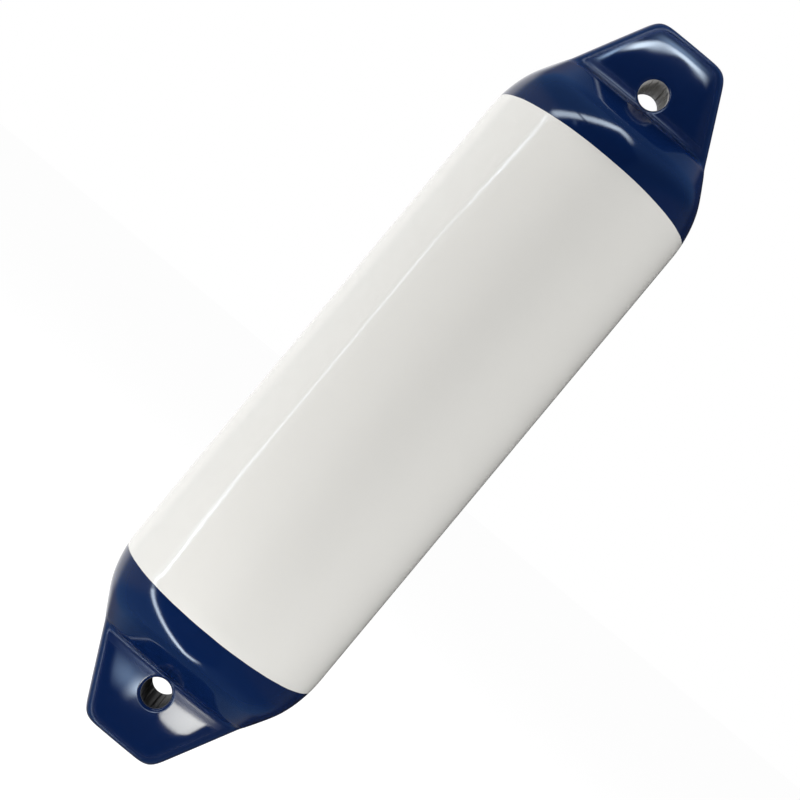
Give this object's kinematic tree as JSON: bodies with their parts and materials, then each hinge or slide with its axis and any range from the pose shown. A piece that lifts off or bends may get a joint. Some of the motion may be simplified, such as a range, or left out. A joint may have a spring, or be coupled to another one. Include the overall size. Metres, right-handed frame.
{
  "type": "boat fender",
  "caption": "Air-filled cylindrical boat fender with navy heads, flat tabs and a line eye at each end, hung between a hull and a dock.",
  "frame": {"origin": "middle of the fender, on its long axis", "axes": "+Z along the fender to the upper eye, +X across the flat tabs, the front faces -Y"},
  "size_m": [0.15, 0.15, 0.568],
  "materials": {
    "moulding": "glossy white soft plastic with a navy coat on both heads",
    "valve_rubber": "matt black rubber",
    "valve_screw": "off-white nylon, satin"
  },
  "bodies": {
    "root": {"fender_body": "moulding", "valve_seat": "valve_rubber", "valve_plug": "valve_screw"}
  },
  "joints": []
}
